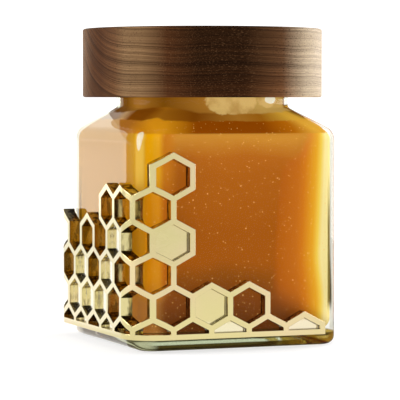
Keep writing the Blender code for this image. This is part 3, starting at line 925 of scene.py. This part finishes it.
def cell_corners(sizes):
    """Corners of a cell's hexagon about its middle, and of the outline half a strut inside it."""
    half = sizes.cell_pitch / 2.0
    lean = math.atan2(sizes.cell_rise, half)
    inset = sizes.strut / 2.0
    side = sizes.cell_side / 2.0 + inset * (math.tan(lean) - 1.0 / math.cos(lean))
    apex = sizes.cell_side / 2.0 + sizes.cell_rise - inset / math.cos(lean)
    inner = np.stack([CORNER_ACROSS * (half - inset), CORNER_SIDE * side + CORNER_APEX * apex], axis=-1)
    flat = sizes.cell_side / 2.0
    hexagon = np.stack([
        CORNER_ACROSS * half,
        CORNER_SIDE * flat + CORNER_APEX * (flat + sizes.cell_rise),
    ], axis=-1)
    return hexagon, inner


def polygon_area(polygons):
    """Signed area of each polygon in an array of shape (count, corners, 2)."""
    following = np.roll(polygons, -1, axis=1)
    cross = polygons[..., 0] * following[..., 1] - following[..., 0] * polygons[..., 1]
    return cross.sum(axis=1) / 2.0


def anticlockwise(polygons):
    """Drop empty polygons and turn the others anticlockwise."""
    area = polygon_area(polygons)
    keep = np.abs(area) > 1e-10
    polygons, area = polygons[keep], area[keep]
    return np.where((area < 0.0)[:, None, None], polygons[:, ::-1], polygons)


def lone_corners(k, row):
    """Which corners of each cell have no other cell beside them, shape (cells, 6)."""
    span = 100
    own = k[:, None] + span * row[:, None]
    beyond = own + NEIGHBOUR_ALONG - span * NEIGHBOUR_UP
    free = ~np.isin(np.round(beyond), own)
    return free & np.roll(free, 1, axis=1)


def strut_polygons(middles, hexagon, corners, lone, steps, row_pitch, bar_top):
    """Quads of all struts and triangles of all junctions round the given cells.

    Side s of a cell runs from corner s to corner s + 1; the cell beyond it has its corners
    s + 4 and s + 3 opposite.  A junction joins one corner of each of three cells.  At a lone
    corner a tip goes on to the inner corner mirrored in the corner of the hexagon.
    """
    side = np.arange(6)
    beyond = np.stack([NEIGHBOUR_ALONG * hexagon[1, 0], NEIGHBOUR_UP * row_pitch], axis=-1)

    def lifted(points):
        """Half cells stand on the bottom bar, so no point lies below its top."""
        return np.stack([points[..., 0], np.maximum(points[..., 1], bar_top)], axis=-1)

    own = lifted(middles[:, None] + corners[None])
    own_next = lifted(middles[:, None] + corners[(side + 1) % 6][None])
    far = lifted(middles[:, None] + beyond[None] + corners[(side + 4) % 6][None])
    far_next = lifted(middles[:, None] + beyond[None] + corners[(side + 3) % 6][None])
    before = lifted(middles[:, None] + beyond[(side + 5) % 6][None] + corners[(side + 2) % 6][None])
    share = np.linspace(0.0, 1.0, steps + 1)[None, None, :, None]
    near_line = own[:, :, None] + (own_next - own)[:, :, None] * share
    far_line = far[:, :, None] + (far_next - far)[:, :, None] * share
    quads = np.stack(
        [near_line[:, :, :-1], near_line[:, :, 1:], far_line[:, :, 1:], far_line[:, :, :-1]], axis=3
    )
    triangles = np.stack([own, far, before], axis=2).reshape(-1, 3, 2)
    outer = lifted(middles[:, None] + 2.0 * hexagon[None] - corners[None])
    tips = np.stack([far, outer, before], axis=2)[lone]
    return quads.reshape(-1, 4, 2), np.concatenate([triangles, tips])


def bar_polygons(places, sizes, inner_half, steps):
    """Quads of the bottom bar: spans under the half cells in several steps, and one under each strut."""
    half = sizes.cell_pitch / 2.0
    share = np.linspace(-1.0, 1.0, steps + 1)
    tops = places[:, None] + inner_half * share[None, :]
    spans = np.stack([tops[:, :-1], tops[:, 1:]], axis=-1).reshape(-1, 2)
    ends = np.concatenate([places - half, places + half])
    feet = np.stack([ends - sizes.strut / 2.0, ends + sizes.strut / 2.0], axis=-1)
    spans = np.concatenate([spans, feet])
    low, high = SLEEVE_LOW.z, sizes.bar_top
    left, right = spans[:, 0], spans[:, 1]
    return np.stack([
        np.stack([left, np.full_like(left, low)], axis=-1),
        np.stack([right, np.full_like(left, low)], axis=-1),
        np.stack([right, np.full_like(left, high)], axis=-1),
        np.stack([left, np.full_like(left, high)], axis=-1),
    ], axis=1)


def cell_outline(corners, steps):
    """Outline of cells as points along straight sides; corners has shape (cells, sides, 2)."""
    share = np.linspace(0.0, 1.0, steps + 1)[:-1][None, None, :, None]
    following = np.roll(corners, -1, axis=1)
    points = corners[:, :, None] + (following - corners)[:, :, None] * share
    return points.reshape(len(corners), -1, 2)


def plate_polygons(outline):
    """Quads and triangles that fill outlines as rings drawn in towards their middle."""
    middle = outline.mean(axis=1, keepdims=True)
    rings = [middle + (outline - middle) * share for share in (1.0, 0.82, 0.45)]
    quads = []
    for outer, inner in zip(rings, rings[1:]):
        quads.append(np.stack([outer, np.roll(outer, -1, 1), np.roll(inner, -1, 1), inner], axis=2))
    last = rings[-1]
    fans = np.stack([last, np.roll(last, -1, 1), np.broadcast_to(middle, last.shape)], axis=2)
    return np.concatenate(quads).reshape(-1, 4, 2), fans.reshape(-1, 3, 2)


def wrap(points, sizes):
    """Carry points (along, depth, height) of the flat sleeve round the jar.

    Along is measured from the middle of the near corner.  A point lies on an arc about the
    corner's centre, angle = 270 degrees - distance / bend measure, and goes on straight
    before and after it; the same holds a quarter turn on for the far corner.  Deeper points
    are turned on by lean * sin(360 degrees * share of the bend), towards its middle.
    """
    along, depth, height = points[:, 0], points[:, 1], points[:, 2]
    reach = GLASS_HIGH.x - sizes.body_corner
    inner = sizes.body_corner + sizes.sleeve_gap
    bend, straight = QUARTER_TURN * sizes.bend_measure, 2.0 * reach
    deep = 1.0 - depth / sleeve_depth(sizes)
    distance = bend / 2.0 - along
    side = np.where(distance > bend + straight, 1.0, 0.0)
    distance = distance - side * (bend + straight)
    share = np.clip(distance, 0.0, bend) / bend
    angle = 1.5 * math.pi - QUARTER_TURN * share - sizes.bend_lean * deep * np.sin(FULL_TURN * share)
    x = -reach + (inner + depth) * np.cos(angle) + np.maximum(-distance, 0.0)
    y = -reach + (inner + depth) * np.sin(angle) + np.maximum(distance - bend, 0.0)
    turned_x = np.where(side > 0.5, y, x)
    turned_y = np.where(side > 0.5, -x, y)
    return np.stack([turned_x, turned_y, height], axis=-1)


def sleeve_depth(sizes):
    """How far the sleeve stands out from its own back."""
    return -SLEEVE_LOW.x - GLASS_HIGH.x - sizes.sleeve_gap


def flat_sleeve(sizes):
    """Flat polygons of the sleeve's fronts and of its plates, each as quads and as triangles."""
    k, row, filled = lattice_cells()
    half = sizes.cell_pitch / 2.0
    row_pitch = sizes.cell_side + sizes.cell_rise
    steps = sizes.strut_steps
    hexagon, corners = cell_corners(sizes)
    middles = np.stack([
        sizes.lattice_shift + k * half,
        sizes.row_five + (FULL_ROWS - row) * row_pitch,
    ], axis=-1)
    lone = lone_corners(k, row)
    quads, triangles = strut_polygons(middles, hexagon, corners, lone, steps, row_pitch, sizes.bar_top)
    halves = row == HALF_ROW
    bar = bar_polygons(middles[halves, 0], sizes, corners[1, 0], steps)
    own = middles[:, None] + corners[None]
    feet = np.stack([own[..., 0], np.maximum(own[..., 1], sizes.bar_top)], axis=-1)
    outlines = (
        cell_outline(own[filled & ~halves], steps),
        cell_outline(feet[filled & halves][:, [0, 1, 2, 4, 5]], steps),
    )
    plates = [np.concatenate(part) for part in zip(*(plate_polygons(outline) for outline in outlines))]
    fronts = [np.concatenate([quads, bar]), triangles]
    return [anticlockwise(part) for part in fronts], [anticlockwise(part) for part in plates]


def sleeve_mesh(sizes):
    """Points, faces and tones of the whole casting, first flat and then wrapped round the jar.

    Each flat point has four layers: front, back, floor of a plate and lip just below the front.
    A wall stands on each border edge of the fronts, down to the back or to the plate beside it.
    """
    fronts, floors = flat_sleeve(sizes)
    stacked = np.concatenate([part.reshape(-1, 2) for part in fronts + floors])
    flat, index = np.unique(np.round(stacked, 8), axis=0, return_inverse=True)
    sections = np.cumsum([part.size // 2 for part in fronts + floors])[:-1]
    parts = [
        unique_polygons(piece.reshape(part.shape[:2]))
        for piece, part in zip(np.split(index.reshape(-1), sections), fronts + floors)
    ]
    fronts, floors = parts[:2], parts[2:]
    total = len(flat)
    back, floor, lip = total, 2 * total, 3 * total
    front_edges = directed_edges(fronts)
    border = front_edges[~np.isin(edge_code(front_edges[:, ::-1], total), edge_code(front_edges, total))]
    beside_plate = np.isin(edge_code(border[:, ::-1], total), edge_code(directed_edges(floors), total))
    lower = np.where(beside_plate, floor, back)
    first, second = border[:, 0], border[:, 1]
    edges = np.stack([second, first, first + lip, second + lip], axis=-1)
    walls = np.stack([second + lip, first + lip, first + lower, second + lower], axis=-1)
    faces = []
    for part in fronts:
        faces += part.tolist() + (part[:, ::-1] + back).tolist()
    for part in floors:
        faces += (part + floor).tolist() + (part[:, ::-1] + back).tolist()
    faces += edges.tolist() + walls.tolist()
    depth = sleeve_depth(sizes)
    layers = [
        np.column_stack([flat[:, 0], np.full(total, level), flat[:, 1]])
        for level in (depth, 0.0, depth - sizes.plate_recess, depth - 1.5 * sizes.sleeve_edge)
    ]
    tones = sleeve_tones(flat, fronts, floors, flat[second] - flat[first], sizes)
    return *drop_unused(wrap(np.concatenate(layers), sizes), faces), tones


def sleeve_tones(flat, fronts, floors, along_walls, sizes):
    """Tone at each corner of each face, in the order of the faces.

    A wall that runs up faces the near corner and gets less painted shade than the others.
    """
    front, floor = (
        np.concatenate([flat[side].reshape(-1, 2) for part in parts for side in (part, part[:, ::-1])])
        for parts in (fronts, floors)
    )
    nearside = along_walls[:, 1] > 0.8 * np.hypot(along_walls[:, 0], along_walls[:, 1])
    lip, inner = (np.where(nearside, *pair) for pair in zip(NEARSIDE_LIT_WALL, OTHER_SHADED_WALL))
    front_plate = np.interp(floor[:, 1], sizes.row_five + MM * PLATE_TONES[:, 0], PLATE_TONES[:, 1])
    return np.concatenate([
        np.where((front[:, 0] < LEFT_FRONT_END) & (front[:, 1] > sizes.bar_top), LEFT_STRUT_SHEEN, 0.0),
        np.where(floor[:, 0] < 0.0, LEFT_CELL_SHEEN, front_plate),
        np.stack([0.0 * lip, 0.0 * lip, lip, lip], axis=-1).reshape(-1),
        np.stack([lip, lip, inner, inner], axis=-1).reshape(-1),
    ])


def unique_polygons(polygons):
    """Each polygon once, whichever corner it starts from."""
    _, first = np.unique(np.sort(polygons, axis=1), axis=0, return_index=True)
    return polygons[np.sort(first)]


def directed_edges(parts):
    """Edges of polygons as pairs of points, in the polygons' own direction."""
    return np.concatenate([
        np.stack([part, np.roll(part, -1, axis=1)], axis=-1).reshape(-1, 2) for part in parts
    ])


def edge_code(edges, total):
    """One number for each edge: first point * total + second point."""
    return edges[:, 0] * total + edges[:, 1]


def drop_unused(points, faces):
    """Leave out points that no face uses."""
    flat = np.concatenate([np.asarray(face) for face in faces])
    used, inverse = np.unique(flat, return_inverse=True)
    ends = np.cumsum([len(face) for face in faces])[:-1]
    return points[used], [part.tolist() for part in np.split(inverse.reshape(-1), ends)]


# Operators


class HONEYJAR_OT_glass(bpy.types.Operator):
    """Blow the glass jar: outside, rim and inside as one closed skin"""

    bl_idname = "honeyjar.glass"
    bl_label = "Glass jar"

    def execute(self, context):
        sizes = context.scene.honey_jar_sizes
        inside = tuple(values[::-1] for values in inner_stations(sizes))
        stations = join_stations(outer_stations(sizes), rim_stations(sizes), inside)
        points, faces = closed_skin(rounded_square_grid(*stations))
        material = glass_material(context.scene.honey_jar_colours)
        add_piece("jar_glass", points, faces, material, "glass_jar")
        return {"FINISHED"}


class HONEYJAR_OT_honey(bpy.types.Operator):
    """Fill the jar: a body that reaches into the wall, with an uneven lip of honey up the neck"""

    bl_idname = "honeyjar.honey"
    bl_label = "Honey"

    def execute(self, context):
        sizes = context.scene.honey_jar_sizes
        half, corner, height = inner_stations(sizes, reach=sizes.honey_reach)
        level = HONEY_HIGH.z
        below = height < level + 0.4 * MM
        grid = rounded_square_grid(half[below], corner[below], height[below])
        around = np.arctan2(grid[-1, :, 1], grid[-1, :, 0])
        start, lip = grid[-1, :, 2], honey_lip_height(around)
        radius = sizes.neck_radius - sizes.neck_wall + sizes.honey_reach
        rows = [(radius, start + (lip - start) * share) for share in np.linspace(0.25, 1.0, 6)]
        rows += [(radius - inward * MM, level + (lip - level) * share) for inward, share in LIP_PROFILE]
        for share in SURFACE_SHARES:
            ripple = 0.35 * MM * np.sin(3.0 * around + 9.0 * share) * share
            rows.append((radius * share, level + ripple))
        rings = [
            np.stack([r * np.cos(around), r * np.sin(around), np.broadcast_to(z, around.shape)], axis=-1)
            for r, z in rows
        ]
        points, faces = closed_skin(np.concatenate([grid, np.stack(rings)]))
        material = honey_material(context.scene.honey_jar_colours)
        add_piece("honey_fill", points, faces, material, "honey")
        return {"FINISHED"}


def honey_lip_height(around):
    """Height of the honey up the neck, hidden by the lid: a level plus slow waves."""
    waves = 0.5 * np.sin(2.0 * around + 0.6) + 0.35 * np.sin(5.0 * around + 2.0)
    return LID_LOW.z + (1.2 + 0.5 * waves) * MM


class HONEYJAR_OT_lid(bpy.types.Operator):
    """Turn the walnut lid: its profile is carried round the upright axis"""

    bl_idname = "honeyjar.lid"
    bl_label = "Walnut lid"

    def execute(self, context):
        sizes = context.scene.honey_jar_sizes
        edge = sizes.lid_edge
        turn = np.linspace(0.0, QUARTER_TURN, 7)
        outer, bottom, top = LID_HIGH.x, LID_LOW.z, LID_HIGH.z
        ceiling = GLASS_HIGH.z + sizes.sleeve_gap
        recess = sizes.recess_radius
        radius = np.concatenate([
            [recess - 2.0 * MM, recess, recess, recess, outer - 3.0 * edge],
            outer - edge + edge * np.sin(turn),
            [outer, outer, outer],
            outer - edge + edge * np.cos(turn),
            [outer - 3.0 * edge],
        ])
        height = np.concatenate([
            [ceiling, ceiling, ceiling - 0.5 * MM, bottom, bottom],
            bottom + edge - edge * np.cos(turn),
            [bottom + 3.0 * edge, (bottom + top) / 2.0, top - 3.0 * edge],
            top - edge + edge * np.sin(turn),
            [top],
        ])
        angle = np.arange(LID_FACETS) * FULL_TURN / LID_FACETS
        grid = np.stack([
            radius[:, None] * np.cos(angle),
            radius[:, None] * np.sin(angle),
            np.broadcast_to(height[:, None], (len(height), len(angle))),
        ], axis=-1)
        points, faces = closed_skin(grid)
        material = walnut_material(context.scene.honey_jar_colours)
        add_piece("walnut_lid", points, faces, material, "wood_lid")
        return {"FINISHED"}


class HONEYJAR_OT_sleeve(bpy.types.Operator):
    """Cast the honeycomb sleeve and soften its edges"""

    bl_idname = "honeyjar.sleeve"
    bl_label = "Honeycomb sleeve"

    def execute(self, context):
        sizes = context.scene.honey_jar_sizes
        points, faces, shade = sleeve_mesh(sizes)
        material = gold_material(context.scene.honey_jar_colours)
        piece = add_piece("gold_sleeve", points, faces, material, "honeycomb_sleeve", 60.0)
        side = piece.data.attributes.new(PAINTED_TONE_ATTRIBUTE, "FLOAT", "CORNER")
        side.data.foreach_set("value", shade)
        bevel = piece.modifiers.new("Soft edges", "BEVEL")
        bevel.width = sizes.sleeve_edge
        bevel.segments = 2
        bevel.limit_method = "ANGLE"
        bevel.angle_limit = math.radians(35.0)
        bevel.harden_normals = True
        weld = piece.modifiers.new("Joined corners", "WELD")
        weld.merge_threshold = 0.002 * MM
        return {"FINISHED"}


class HONEYJAR_OT_stage(bpy.types.Operator):
    """Set up floor, soft light and camera"""

    bl_idname = "honeyjar.stage"
    bl_label = "Stage"

    def execute(self, context):
        add_floor(context.scene.honey_jar_colours)
        add_surroundings(context.scene)
        for name, settings in PANELS.items():
            add_panel_light(name, *settings)
        context.scene.camera = add_camera(context.scene.honey_jar_studio)
        context.scene.view_settings.view_transform = "Standard"
        return {"FINISHED"}


def add_floor(colours):
    """Wide level disc under the jar, glowing a little like a lit table."""
    angle = np.arange(FLOOR_FACETS) * FULL_TURN / FLOOR_FACETS
    x, y = FLOOR_RADIUS * np.cos(angle), FLOOR_RADIUS * np.sin(angle)
    points = np.stack([x, y, np.full_like(x, -FLOOR_DROP)], axis=-1)
    mesh = bpy.data.meshes.new("floor")
    mesh.from_pydata(points.tolist(), [], [list(range(FLOOR_FACETS))])
    material, tree, shader = new_material("pale_floor")
    set_inputs(tree, shader, {
        "Base Color": colours.floor,
        "Emission Color": WHITE,
        "Emission Strength": 0.72,
        "Roughness": 0.8,
        "Specular IOR Level": 0.0,
    })
    mesh.materials.append(material)
    floor = bpy.data.objects.new("floor", mesh)
    bpy.context.scene.collection.objects.link(floor)


def add_surroundings(scene):
    """Walls of the studio: bright behind, dimmer in front and above, and plain white behind the picture.

    Their strength is 0.97 in front to 1.3 behind at the right, times 1 at the horizon to 0.12
    above, times 0.3 in a dark curtain at the left.
    """
    world = bpy.data.worlds.new("studio_walls")
    world.use_nodes = True
    tree = world.node_tree
    direction = output_of(tree, "ShaderNodeTexCoord", "Generated")
    behind = dot(direction, Vector((0.66, 0.75, 0.0)).normalized())
    leftward = dot(direction, Vector((-0.82, 0.57, 0.0)).normalized())
    _, _, upward = axes_of(direction)
    curtain = leftward.step(0.55, 0.90) * upward.step(-0.03, 0.01)
    strength = (behind.step(0.0, 0.95) * 0.33 + 0.97) * (upward.step(0.20, 0.60) * -0.88 + 1.0)
    seen = output_of(tree, "ShaderNodeLightPath", "Is Camera Ray")
    set_inputs(tree, tree.nodes["Background"], {
        "Color": WHITE,
        "Strength": (strength * (curtain * -0.7 + 1.0)).math("MAXIMUM", seen * 1.1),
    })
    scene.world = world


def add_panel_light(name, place, target, size, power, colour):
    """Soft panel at a place, turned towards a target, seen in reflections only."""
    light = bpy.data.lights.new(name, "AREA")
    light.shape = "RECTANGLE"
    light.size, light.size_y = size
    light.energy = power
    light.color = colour
    lamp = bpy.data.objects.new(name, light)
    bpy.context.scene.collection.objects.link(lamp)
    lamp.location = place
    lamp.visible_camera = False
    aim = Vector(target) - lamp.location
    lamp.rotation_euler = aim.to_track_quat("-Z", "Y").to_euler()


def add_camera(studio):
    """Camera to the left of the front face, level with the lid's underside and tilted down a little."""
    lens = bpy.data.cameras.new("camera")
    lens.lens = studio.lens
    lens.sensor_width = 36.0
    camera = bpy.data.objects.new("camera", lens)
    bpy.context.scene.collection.objects.link(camera)
    turn = studio.camera_turn
    camera.location = (
        -studio.camera_distance * math.sin(turn),
        -studio.camera_distance * math.cos(turn),
        studio.camera_height,
    )
    camera.rotation_euler = (QUARTER_TURN - studio.camera_tilt, 0.0, studio.camera_pan - turn)
    return camera


OPERATORS = (
    HONEYJAR_OT_glass,
    HONEYJAR_OT_honey,
    HONEYJAR_OT_lid,
    HONEYJAR_OT_sleeve,
    HONEYJAR_OT_stage,
)


class HONEYJAR_PT_panel(bpy.types.Panel):
    """Buttons for the jar's pieces and its stage"""

    bl_idname = "HONEYJAR_PT_panel"
    bl_label = "Honey Jar"
    bl_space_type = "VIEW_3D"
    bl_region_type = "UI"
    bl_category = "Honey Jar"

    def draw(self, context):
        for operator in OPERATORS:
            self.layout.operator(operator.bl_idname)


PROPERTY_GROUPS = (HoneyJarSizes, HoneyJarColours, HoneyJarStudio)
CLASSES = (*PROPERTY_GROUPS, *OPERATORS, HONEYJAR_PT_panel)


def register():
    for item in CLASSES:
        bpy.utils.register_class(item)
    bpy.types.Scene.honey_jar_sizes = PointerProperty(type=HoneyJarSizes)
    bpy.types.Scene.honey_jar_colours = PointerProperty(type=HoneyJarColours)
    bpy.types.Scene.honey_jar_studio = PointerProperty(type=HoneyJarStudio)


def unregister():
    del bpy.types.Scene.honey_jar_studio
    del bpy.types.Scene.honey_jar_colours
    del bpy.types.Scene.honey_jar_sizes
    for item in reversed(CLASSES):
        bpy.utils.unregister_class(item)


def main():
    """Make every piece and the stage."""
    register()
    bpy.ops.honeyjar.glass()
    bpy.ops.honeyjar.honey()
    bpy.ops.honeyjar.lid()
    bpy.ops.honeyjar.sleeve()
    bpy.ops.honeyjar.stage()


if __name__ == "__main__":
    main()
